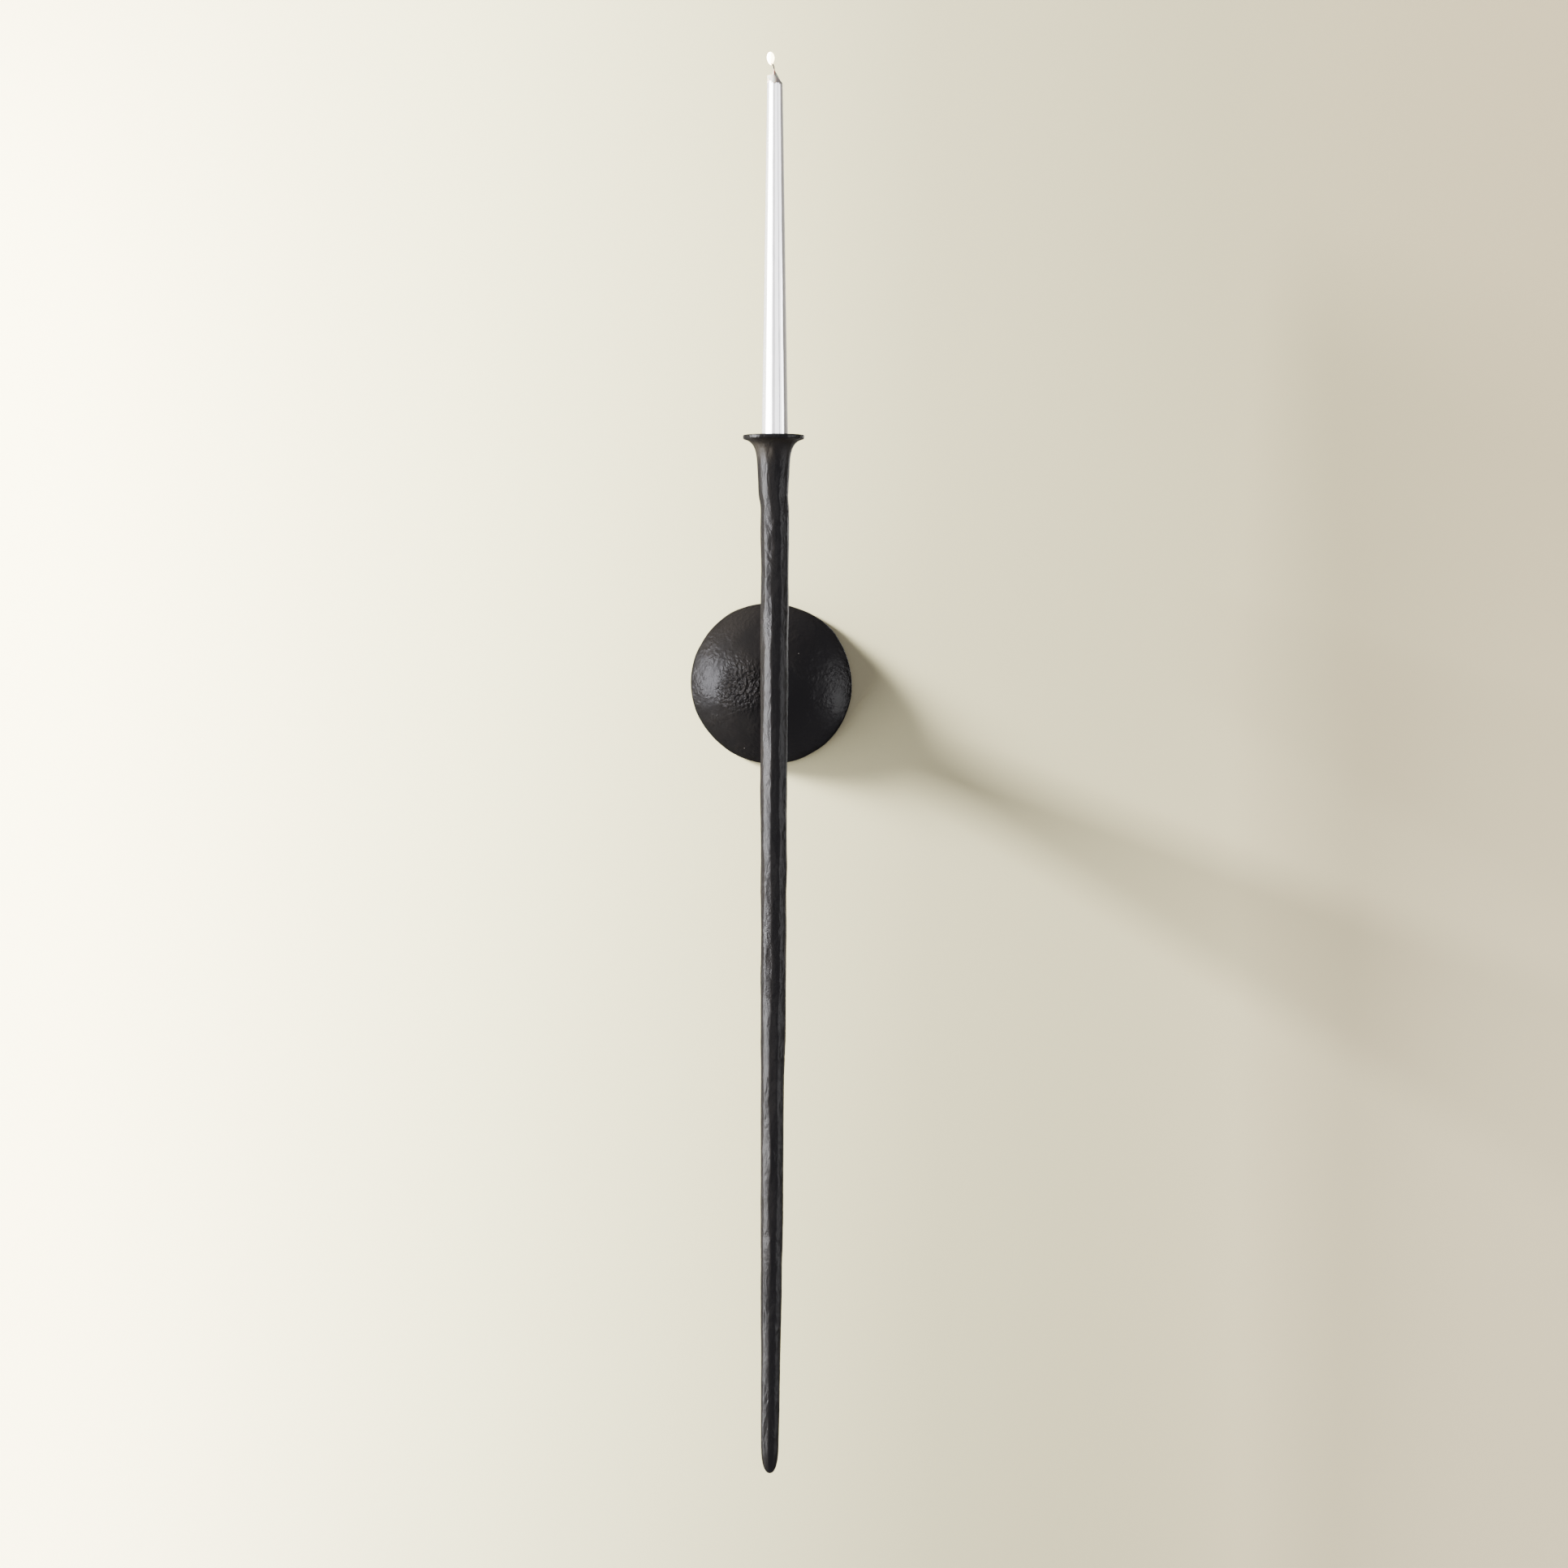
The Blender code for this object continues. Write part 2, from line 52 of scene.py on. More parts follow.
# Places that the frame gives
STEM_LOW, STEM_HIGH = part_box("stem")
STEM_Y = (STEM_LOW.y + STEM_HIGH.y) / 2
TIP_Z = STEM_LOW.z
RIM_Z = STEM_HIGH.z
LIP_RADIUS = (STEM_HIGH.y - STEM_LOW.y) / 2
DOME_LOW, DOME_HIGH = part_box("dome_back_plate")
DOME_X = (DOME_LOW.x + DOME_HIGH.x) / 2
DOME_Z = (DOME_LOW.z + DOME_HIGH.z) / 2
DOME_RADIUS = (DOME_HIGH.x - DOME_LOW.x) / 2
CANDLE_LOW, CANDLE_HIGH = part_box("candle")
CANDLE_X = (CANDLE_LOW.x + CANDLE_HIGH.x) / 2


# ---------------------------------------------------------------- finishes

class Channel:
    """One output of a shader node. Sums on it add Math nodes, so a pattern reads as a formula."""

    def __init__(self, finish, socket):
        self.finish = finish
        self.socket = socket

    def maths(self, operation, *terms):
        return self.finish.node("ShaderNodeMath", {"operation": operation}, dict(enumerate(terms)))

    def __add__(self, other):
        return self.maths("ADD", self, other)

    def __sub__(self, other):
        return self.maths("SUBTRACT", self, other)

    def __rsub__(self, other):
        return self.maths("SUBTRACT", other, self)

    def __mul__(self, other):
        return self.maths("MULTIPLY", self, other)

    def __truediv__(self, other):
        return self.maths("DIVIDE", self, other)

    __radd__ = __add__
    __rmul__ = __mul__


class Finish:
    """A material and the few kinds of pattern that its formulas are made from."""

    def __init__(self, name):
        self.material = bpy.data.materials.new(name)
        self.material.use_nodes = True
        self.tree = self.material.node_tree
        self.tree.nodes.clear()
        self.output = self.tree.nodes.new("ShaderNodeOutputMaterial")
        self.place = self.node("ShaderNodeTexCoord", out="Object")

    def node(self, kind, settings=None, inputs=None, out=0):
        """Add a node, with its settings first, then the values or links of its sockets."""
        made = self.tree.nodes.new(kind)
        for key, value in (settings or {}).items():
            if key == "stops":
                ramp = made.color_ramp
                while len(ramp.elements) < len(value):
                    ramp.elements.new(1.0)
                for element, (position, colour) in zip(ramp.elements, value):
                    element.position = position
                    element.color = (*colour, 1.0)
            else:
                setattr(made, key, value)
        for key, value in (inputs or {}).items():
            if isinstance(value, Channel):
                self.tree.links.new(value.socket, made.inputs[key])
            else:
                made.inputs[key].default_value = value
        return Channel(self, made.outputs[out])

    def split(self, vector):
        """The X, Y and Z of a vector."""
        parts = self.node("ShaderNodeSeparateXYZ", inputs={0: vector}, out="X")
        outputs = parts.socket.node.outputs
        return [Channel(self, outputs[axis]) for axis in "XYZ"]

    def stretched(self, scale):
        """The piece's own coordinates, scaled along each axis."""
        return self.node("ShaderNodeVectorMath", {"operation": "MULTIPLY"},
                         {0: self.place, 1: scale}, out="Vector")

    def grain(self, size, detail=3.0, rough=0.55, where=None, distortion=0.0):
        """Cloudy noise from 0 to 1, with lumps about one size across, in metres."""
        return self.node("ShaderNodeTexNoise", {"noise_dimensions": "3D"}, {
            "Vector": where or self.place, "Scale": 1.0 / size, "Detail": detail,
            "Roughness": rough, "Distortion": distortion})

    def cells(self, size, out="Distance"):
        """Distance to the middle of the nearest cell, or each cell's own colour."""
        return self.node("ShaderNodeTexVoronoi", {}, {
            "Vector": self.place, "Scale": 1.0 / size}, out=out)

    def step(self, value, low, high, to_low=0.0, to_high=1.0):
        """A smooth step as a value goes from low to high."""
        return self.node("ShaderNodeMapRange", {"interpolation_type": "SMOOTHSTEP"}, {
            "Value": value, "From Min": low, "From Max": high,
            "To Min": to_low, "To Max": to_high}, out="Result")

    def blend(self, share, first, second):
        """Mix two colours. Inputs 6 and 7 and output 2 are the node's sockets for colours."""
        inputs = {0: share}
        for key, colour in ((6, first), (7, second)):
            inputs[key] = colour if isinstance(colour, Channel) else (*colour, 1.0)
        return self.node("ShaderNodeMix", {"data_type": "RGBA"}, inputs, out=2)

    def bump(self, height, distance, after=None):
        """A normal from a height pattern, where a height of 1 stands distance metres proud."""
        inputs = {"Height": height, "Distance": distance}
        if after:
            inputs["Normal"] = after
        return self.node("ShaderNodeBump", {}, inputs, out="Normal")

    def shader(self, **sockets):
        """A Principled shader. Socket names are written with underscores."""
        inputs = {}
        for key, value in sockets.items():
            if isinstance(value, tuple):
                value = (*value, 1.0)
            inputs[key.replace("_", " ")] = value
        return self.node("ShaderNodeBsdfPrincipled", {}, inputs, out="BSDF")

    def done(self, shader):
        """Hand the finished material over."""
        self.tree.links.new(shader.socket, self.output.inputs["Surface"])
        return self.material


IRON_DARK = (0.0020, 0.0018, 0.0017)
IRON_PALE = (0.0032, 0.0028, 0.0025)
LIP_EDGE = 0.0038              # the rolled lip's glossier finish ends this far below the rim
SOOT_REACH = 0.026             # soot from the candle reaches this far below the rim


def forged_iron():
    """Black iron, hammered by hand: satin wax over fine scale, rubbed along the facet edges."""
    f = Finish("forged_iron")
    edge = f.node("ShaderNodeAttribute", {"attribute_name": "hammer_edge"}, out="Fac")
    cloud = f.grain(0.030, 4.0, where=f.stretched((1, 1, 0.4)))
    scale_grain = f.grain(0.0016, 4.0, 0.6)
    fine_grain = f.grain(0.0005, 2.0)
    scuffs = f.grain(0.004, 3.0, 0.6, where=f.stretched((1, 1, 0.25)))
    dents = f.grain(0.0065, 2.0, 0.5, where=f.stretched((1, 1, 0.45)), distortion=0.6)
    rub = f.step(edge * 0.8 + scuffs * 0.5, 0.70, 1.05)
    z = f.split(f.place)[2]
    lip = f.step(z, RIM_Z - LIP_EDGE, RIM_Z - 0.0030)
    soot = f.step(z, RIM_Z - SOOT_REACH, RIM_Z - 0.010) * (1 - lip)
    colour = f.blend(f.step(cloud, 0.35, 0.65), IRON_DARK, IRON_PALE)
    colour = f.blend(rub * 0.5, colour, (0.015, 0.013, 0.012))
    colour = f.blend(soot * (0.3 + cloud * 0.6), colour, (0.0105, 0.0086, 0.0060))
    roughness = 0.21 + cloud * 0.10 + scale_grain * 0.10 - rub * 0.04 + soot * 0.18 - lip * 0.10
    normal = f.bump(dents, 0.0011)
    normal = f.bump(scale_grain, 0.00024, after=normal)
    normal = f.bump(fine_grain, 0.00005, after=normal)
    return f.done(f.shader(Base_Color=colour, Roughness=roughness, Normal=normal,
                           Specular_IOR_Level=0.15))


def dome_iron():
    """Black iron with an orange-peel skin and a few pale specks, and raw iron in its hollow."""
    f = Finish("dome_iron")
    cloud = f.grain(0.035, 4.0, 0.55)
    peel = f.grain(0.0027, 2.0, 0.5)
    fine_peel = f.grain(0.0011, 2.0, 0.5)
    patches = f.grain(0.018, 3.0, 0.5)
    away = f.node("ShaderNodeVectorMath", {"operation": "DISTANCE"},
                  {0: f.place, 1: (DOME_X - 0.024, -0.025, DOME_Z - 0.004)}, out="Value")
    peel_share = f.step(patches, 0.42, 0.66, 0.06, 0.22) + f.step(away, 0.027, 0.008, 0.0, 1.0)
    specks = f.step(f.cells(0.011), 0.050, 0.030) * f.step(f.grain(0.013, 1.0), 0.66, 0.70)
    from_centre = f.node("ShaderNodeVectorMath", {"operation": "DISTANCE"},
                         {0: f.place, 1: (DOME_X, dome_centre(), DOME_Z)}, out="Value")
    inside = f.step(from_centre, dome_ball() - 0.0016, dome_ball() - 0.0030)
    sand = f.grain(0.0009, 3.0, 0.6)
    colour = f.blend(f.step(cloud, 0.35, 0.65), IRON_DARK, IRON_PALE)
    colour = f.blend(specks, colour, (0.16, 0.15, 0.14))
    raw = f.blend(cloud, (0.030, 0.028, 0.027), (0.060, 0.054, 0.050))
    colour = f.blend(inside, colour, raw)
    roughness = 0.22 + cloud * 0.10 + peel * 0.06 + specks * 0.3 + inside * 0.28
    peel_share *= 1 - inside
    normal = f.bump(peel * peel_share, 0.0030)
    normal = f.bump(fine_peel * peel_share, 0.00022, after=normal)
    normal = f.bump(sand * inside, 0.0003, after=normal)
    return f.done(f.shader(Base_Color=colour, Roughness=roughness, Normal=normal,
                           Specular_IOR_Level=0.13))


def candle_skin():
    """Satin silver skin on pale wax, its top edge torn where the candle has begun to burn."""
    f = Finish("silver_candle")
    x, _, z = f.split(f.place)
    tear = f.grain(0.0042, 3.0, 0.6)
    line = z + (tear - 0.5) * 0.009 + (x - CANDLE_X) * 0.18
    skin_share = f.step(line, WAX_FOOT + 0.0001, WAX_FOOT - 0.0004)
    streaks = f.grain(0.0016, 3.0, 0.6, where=f.stretched((1, 1, 0.03)))
    cloud = f.grain(0.02, 3.0)
    silver = f.shader(
        Base_Color=f.blend(streaks, (0.80, 0.80, 0.80), (0.90, 0.90, 0.895)),
        Metallic=0.83, Roughness=0.07 + cloud * 0.06 + streaks * 0.04,
        Normal=f.bump(f.grain(0.006, 2.0, where=f.stretched((1, 1, 0.2))), 0.00012))
    soot = f.step(z, CANDLE_HIGH.z - 0.004, CANDLE_HIGH.z - 0.0005)
    wax_colour = f.blend(f.grain(0.003), (0.19, 0.180, 0.155), (0.26, 0.247, 0.212))
    wax_colour = f.blend(soot * 0.5, wax_colour, (0.10, 0.09, 0.08))
    wax = f.shader(Base_Color=wax_colour, Roughness=0.45 + f.grain(0.0015) * 0.15,
                   Normal=f.bump(f.grain(0.0012), 0.00015),
                   Subsurface_Weight=0.7, Subsurface_Scale=0.004)
    return f.done(f.node("ShaderNodeMixShader", {}, {0: skin_share, 1: wax, 2: silver},
                         out="Shader"))


def charred_cotton():
    """A braided wick, charred black and ashy at its tip."""
    f = Finish("charred_cotton")
    z = f.split(f.place)[2]
    char = f.step(z, CANDLE_HIGH.z - 0.001, CANDLE_HIGH.z + 0.002)
    fuzz = f.grain(0.0003, 2.0)
    colour = f.blend(char, (0.38, 0.34, 0.28), (0.018, 0.015, 0.013))
    colour = f.blend(fuzz * 0.3, colour, (0.10, 0.09, 0.08))
    return f.done(f.shader(Base_Color=colour, Roughness=0.85 + fuzz * 0.1,
                           Normal=f.bump(fuzz, 0.0001)))


def zinc_plate():
    """Bright zinc on steel hardware: grey crystals and fine turning marks."""
    f = Finish("zinc_plate")
    crystals = f.split(f.cells(0.0012, out="Color"))[0]
    turning = f.grain(0.0004, 2.0, where=f.stretched((1, 6, 1)))
    cloud = f.grain(0.006, 3.0)
    colour = f.blend(crystals * 0.5 + cloud * 0.4, (0.52, 0.53, 0.55), (0.72, 0.72, 0.71))
    return f.done(f.shader(Base_Color=colour, Metallic=1.0, Roughness=0.26 + cloud * 0.22,
                           Normal=f.bump(turning, 0.00003)))


def powder_coat():
    """Matt black powder coat, slightly uneven, with its fine pimples."""
    f = Finish("powder_coat")
    pimples = f.grain(0.0007, 3.0)
    cloud = f.grain(0.012, 3.0)
    colour = f.blend(cloud, (0.016, 0.016, 0.017), (0.030, 0.029, 0.029))
    return f.done(f.shader(Base_Color=colour, Roughness=0.50 + cloud * 0.15,
                           Normal=f.bump(pimples, 0.00012)))


def flame_light():
    """A small candle flame, deeper in colour at its foot."""
    f = Finish("candle_flame")
    z = f.split(f.place)[2]
    rise = f.step(z, CANDLE_HIGH.z + 0.003, CANDLE_HIGH.z + 0.010)
    colour = f.blend(rise, (1.0, 0.78, 0.44), (1.0, 0.88, 0.56))
    return f.done(f.shader(Base_Color=(0.9, 0.85, 0.75), Roughness=0.6, Emission_Color=colour,
                           Emission_Strength=14.0))


PAINTED_FALLOFF_WIDTH = 1.26           # over this width the wall's colour darkens from left to right, a painted fall-off of the window light


def wall_paint_and_painted_light():
    """Matt warm wall paint with painted light: paler to the left and lighter low on the right,
    painted dimmer in reflections, and clear for someone behind the wall.
    """
    f = Finish("wall_paint_and_painted_light")
    x, _, z = f.split(f.place)
    roller = f.grain(0.004, 3.0)
    cloud = f.grain(0.5, 2.0)
    side = (x + (cloud - 0.5) * 0.05) / PAINTED_FALLOFF_WIDTH + 0.5
    # Painted light: the colour darkens from left to right, standing in for the window light's
    # fall-off along the wall
    colour = f.node("ShaderNodeValToRGB", {"stops": [
        (0.00, (0.86, 0.775, 0.500)), (0.30, (0.68, 0.650, 0.395)), (0.60, (0.42, 0.390, 0.240)),
        (0.78, (0.39, 0.355, 0.218)), (1.00, (0.43, 0.370, 0.230))]}, {0: side}, out="Color")
    # Painted light: the lower right is painted paler, standing in for light bounced up from the
    # floor
    painted_bounce_low_right = f.step(x, 0.20, 0.60) * f.step(z, 0.35, -0.45)
    colour = f.blend(painted_bounce_low_right * 0.75, colour, (0.66, 0.585, 0.375))
    # Painted reflection: in glossy surfaces the wall shows a dimmer, more neutral colour than it
    # has, a painted darkening of its reflections
    gloss = f.node("ShaderNodeLightPath", out="Is Glossy Ray")
    colour = f.blend(gloss, colour, (0.105, 0.099, 0.092))
    paint = f.shader(Base_Color=colour, Roughness=1.0, Normal=f.bump(roller, 0.00003),
                     Specular_IOR_Level=0.0)
    back = f.node("ShaderNodeNewGeometry", out="Backfacing")
    clear = f.node("ShaderNodeBsdfTransparent", out="BSDF")
    return f.done(f.node("ShaderNodeMixShader", {}, {0: back, 1: paint, 2: clear}, out="Shader"))


def floor_paint():
    """Plain pale matt floor."""
    f = Finish("floor_paint")
    cloud = f.grain(0.4, 3.0)
    colour = f.blend(cloud, (0.72, 0.705, 0.67), (0.76, 0.745, 0.71))
    return f.done(f.shader(Base_Color=colour, Roughness=0.9, Specular_IOR_Level=0.0))


# ---------------------------------------------------------------- modelling helpers

def smooth(value, low, high):
    """A smooth step from 0 to 1 as a value goes from low to high."""
    share = min(1.0, max(0.0, (value - low) / (high - low)))
    return share * share * (3 - 2 * share)


def put_in_order(bm):
    """Sort a mesh's parts by place, so that each run builds the same piece in the same order."""
    def place(part):
        corners = [part] if isinstance(part, bmesh.types.BMVert) else part.verts
        return [round(value, 7) for value in sum((vert.co for vert in corners), Vector())]

    for parts in (bm.verts, bm.edges, bm.faces):
        for number, part in enumerate(sorted(parts, key=place)):
            part.index = number
        parts.sort()


def turned(outline, axis, steps):
    """Spin an outline of (radius, place along the axis) once round an axis through the origin."""
    bm = bmesh.new()
    verts = [bm.verts.new(X_AXIS * radius + axis * along) for radius, along in outline]
    edges = [bm.edges.new(pair) for pair in zip(verts, verts[1:])]
    bmesh.ops.spin(bm, geom=verts + edges, axis=axis, cent=(0, 0, 0), dvec=(0, 0, 0),
                   angle=math.tau, steps=steps, use_merge=True, use_duplicate=False)
    bmesh.ops.remove_doubles(bm, verts=bm.verts, dist=1e-6)
    bmesh.ops.recalc_face_normals(bm, faces=bm.faces)
    put_in_order(bm)
    return bm


def new_object(name, bm):
    """Turn a bmesh into an object in the scene."""
    mesh = bpy.data.meshes.new(name)
    bm.to_mesh(mesh)
    bm.free()
    obj = bpy.data.objects.new(name, mesh)
    bpy.context.collection.objects.link(obj)
    return obj


def settle(name, bm, material, body, slot, *nodes, angle=40):
    """Make a finished piece: smooth, painted, riding on its body and standing for its CAD nodes."""
    obj = new_object(name, bm)
    mesh = obj.data
    mesh.shade_smooth()
    mesh.set_sharp_from_angle(angle=math.radians(angle))
    mesh.materials.append(material)
    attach(obj, body)
    if nodes:
        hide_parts(*nodes)
    return obj


def bezier(start, start_handle, end_handle, end, count):
    """Points along a Bezier curve in an outline's plane."""
    knots = [Vector((*p, 0)) for p in (start, start_handle, end_handle, end)]
    return [(p.x, p.y) for p in interpolate_bezier(*knots, count)]


def wander(along, seed, length):
    """Smooth wandering between about -1 and 1, over a length in metres."""
    return 1.6 * noise.noise(Vector((along / length, seed * 7.31, 0.5)))


# ---------------------------------------------------------------- stem and cup

STRAIGHT_SIDE = 10.7 * MM      # the stem's left side is straight, and the taper is on its right
LIP_HEIGHT = 3.4 * MM
CUP_SHIFT = -0.7 * MM          # the cup stands off the axis, and its socket doesn't
CUP_BOTTOM = 59 * MM           # below this depth under the rim the rod is in line again
CUP_TOP = 47 * MM
DISH_DEPTH = 14 * MM
SOCKET_DEPTH = 30 * MM
SOCKET_MOUTH = 10.8 * MM
SOCKET_FLOOR = 10.3 * MM
NECK_DEPTH = 55 * MM
SHOULDER_DEPTH = 23 * MM
SHOULDER = 13.1 * MM
# Height above the tip and radius, where the smith's taper changes
ROD_STATIONS = [
    (23, 7.0), (36, 7.15), (74, 7.5), (97, 7.75), (139, 8.1), (158, 8.3), (203, 8.75),
    (268, 8.95), (313, 9.1), (332, 9.4), (344, 9.7), (397, 9.95), (461, 10.1), (483, 10.35),
    (499, 10.2), (526, 10.2), (545, 10.35), (696, 10.95), (742, 11.0), (770, 11.1),
]
# Directions that the hammered facets face, seen from above, in degrees from +X
FACET_TURNS = [-154, -122, -80, -46, -18, 18, 54, 90, 128, 166]
FACET_LEAN = 9.0               # degrees that a facet turns to and fro along the rod
FACET_INSET = 0.995            # the facets' mean distance from the axis, over the rod's radius
BLOW_DEPTH = 0.030             # how much one blow changes that distance
CHATTER_DEPTH = 0.011          # the smaller marks within a blow
FACET_SHARE = 0.64             # how far the round rod is hammered towards its facets
ROUNDING = 0.012               # how softly two facets meet
EDGE_WIDTH = 0.02              # how far the rubbed band reaches from a facet's edge
ROD_RINGS = 460
STEM_STEPS = 96


def rod_radius(z):
    """The stem's radius at a height, eased between its stations."""
    above_tip = (z - TIP_Z) / MM
    for (z0, r0), (z1, r1) in zip(ROD_STATIONS, ROD_STATIONS[1:]):
        if above_tip <= z1:
            share = max(0.0, (above_tip - z0) / (z1 - z0))
            return (r0 + (r1 - r0) * share) * MM
    return ROD_STATIONS[-1][1] * MM


def stem_sway(z, inside):
    """How far a ring of the stem is off the axis, along X. The socket stays true to the candle."""
    depth = RIM_Z - z
    if inside:
        return CANDLE_X + (CUP_SHIFT - CANDLE_X) * smooth(depth, DISH_DEPTH, 0)
    rod = rod_radius(z) - STRAIGHT_SIDE
    return rod + (CUP_SHIFT - rod) * smooth(depth, CUP_BOTTOM, CUP_TOP)


def hammered(angle, z, radius):
    """Radius of the hammered surface, and how near a facet's edge it is, from 0 to 1."""
    reach = []
    for number, turn in enumerate(FACET_TURNS):
        lean = math.radians(turn + FACET_LEAN * wander(z, number + 20, 0.042))
        off = math.cos(angle - lean)
        if off < 0.55:
            continue
        blow = (BLOW_DEPTH * wander(z, number, 0.024)
                + CHATTER_DEPTH * wander(z, number + 40, 0.008))
        reach.append((FACET_INSET + blow) * radius / off)
    nearest, second = sorted(reach)[:2]
    gap = (second - nearest) / radius
    rounded = nearest - ROUNDING * radius * math.exp(-gap / ROUNDING) * 0.5
    return rounded, math.exp(-gap / EDGE_WIDTH)


def cup_middle(depth):
    """A radius between the cup's inside and its outside at a depth below the rim."""
    return 10.5 * MM + 13.0 * MM * math.exp(-depth / (7.5 * MM))


def make_stem(material):
    """The rod and flared cup: spun smooth, then hammered facet by facet below the cup."""
    neck = ROD_STATIONS[-1][1] * MM
    end_z, end = TIP_Z + ROD_STATIONS[0][0] * MM, ROD_STATIONS[0][1] * MM
    neck_z = RIM_Z - NECK_DEPTH
    shoulder_z = RIM_Z - SHOULDER_DEPTH
    lip_z = RIM_Z - LIP_HEIGHT
    tip = bezier((0, TIP_Z), (5.6 * MM, TIP_Z), (end, end_z - 10 * MM), (end, end_z), 22)
    rod = [(rod_radius(z), z) for z in
           (end_z + (neck_z - end_z) * i / ROD_RINGS for i in range(1, ROD_RINGS))]
    swell = bezier((neck, neck_z), (11.7 * MM, neck_z + 10 * MM),
                   (SHOULDER - 0.6 * MM, shoulder_z - 9 * MM), (SHOULDER, shoulder_z), 40)
    flare = bezier((SHOULDER, shoulder_z), (13.6 * MM, shoulder_z + 11.5 * MM),
                   (16.2 * MM, RIM_Z - 5 * MM), (LIP_RADIUS - 1.1 * MM, lip_z - 0.2 * MM), 36)
    lip = bezier((LIP_RADIUS - 0.6 * MM, lip_z + 0.1 * MM), (LIP_RADIUS, lip_z + 0.5 * MM),
                 (LIP_RADIUS + 0.1 * MM, RIM_Z - 1.1 * MM),
                 (LIP_RADIUS - 0.2 * MM, RIM_Z - 0.4 * MM), 9)
    top = bezier((LIP_RADIUS - 0.5 * MM, RIM_Z - 0.02 * MM), (LIP_RADIUS - 0.9 * MM, RIM_Z),
                 (LIP_RADIUS - 1.3 * MM, RIM_Z), (LIP_RADIUS - 1.9 * MM, RIM_Z - 0.3 * MM), 5)
    dish = bezier((LIP_RADIUS - 2.2 * MM, RIM_Z - 0.5 * MM), (14.6 * MM, RIM_Z - 3 * MM),
                  (12.0 * MM, RIM_Z - 6 * MM), (SOCKET_MOUTH, RIM_Z - DISH_DEPTH), 20)
    floor_z = RIM_Z - SOCKET_DEPTH
    socket = [(SOCKET_FLOOR, floor_z + 0.5 * MM), (SOCKET_FLOOR - 0.5 * MM, floor_z),
              (0, floor_z)]
    bm = turned(tip + rod + swell + flare[1:] + lip + top + dish + socket, Z_AXIS, STEM_STEPS)
    edge_layer = bm.verts.layers.float.new("hammer_edge")
    for vert in bm.verts:
        radius = math.hypot(vert.co.x, vert.co.y)
        z = vert.co.z
        depth = RIM_Z - z
        inside = depth < SOCKET_DEPTH + 1e-6 and radius < cup_middle(depth)
        if radius > 1e-6 and not inside:
            angle = math.atan2(vert.co.y, vert.co.x)
            struck, edge = hammered(angle, z, radius)
            share = FACET_SHARE * smooth(depth, 20 * MM, 46 * MM)
            dents = 0.006 * radius * wander(angle * 0.02, 61, 0.02) * (FACET_SHARE - share)
            struck = radius + (struck - radius) * share + dents
            vert.co.x *= struck / radius
            vert.co.y *= struck / radius
            vert[edge_layer] = edge * min(1.0, share * 1.5)
        vert.co.x += stem_sway(z, inside)
    bmesh.ops.translate(bm, verts=bm.verts, vec=(0, STEM_Y, 0))
    settle("forged_stem", bm, material, "sconce", "forged_iron", "stem", angle=60)


# ---------------------------------------------------------------- dome

DOME_EDGE = 2.3 * MM
DOME_WALL = 4 * MM
BOSS_RADIUS = 17 * MM
BOSS_DEPTH = 19.5 * MM
STUD_HOLE = 3.5 * MM
PIN_HOLE = 1.9 * MM
PIN_Z = -11 * MM
DOME_LUMP = 0.36 * MM          # how far the hand-raised face wanders from a true sphere
DOME_RIPPLE = 0.06 * MM
DOME_STEPS = 160
# Radius of the hand-trimmed rim in millimetres, every ten degrees from +X
RIM_SHAPE = [65.0, 64.6, 64.6, 64.7, 65.2, 65.0, 64.5, 64.1, 64.3, 64.7, 65.1, 65.4,
             66.0, 65.8, 65.8, 65.6, 66.0, 65.9, 65.9, 65.8, 65.8, 65.4, 65.1, 65.1,
             65.4, 65.5, 65.6, 65.7, 65.8, 65.9, 65.6, 65.9, 65.8, 65.6, 65.4, 65.4]


def rim_growth(turn):
    """How much wider than a true circle the dome is in a direction."""
    place = math.degrees(turn) % 360 / 10
    first = int(place) % 36
    share = smooth(place - int(place), 0, 1)
    radius = RIM_SHAPE[first] + (RIM_SHAPE[(first + 1) % 36] - RIM_SHAPE[first]) * share
    return radius * MM / DOME_RADIUS


def dome_ball():
    """Radius of the sphere that the dome's face is part of."""
    rise = -DOME_LOW.y - DOME_EDGE
    return (DOME_RADIUS ** 2 + rise ** 2) / (2 * rise)


def dome_centre():
    """Y of that sphere's centre, behind the wall's face."""
    return dome_ball() + DOME_LOW.y


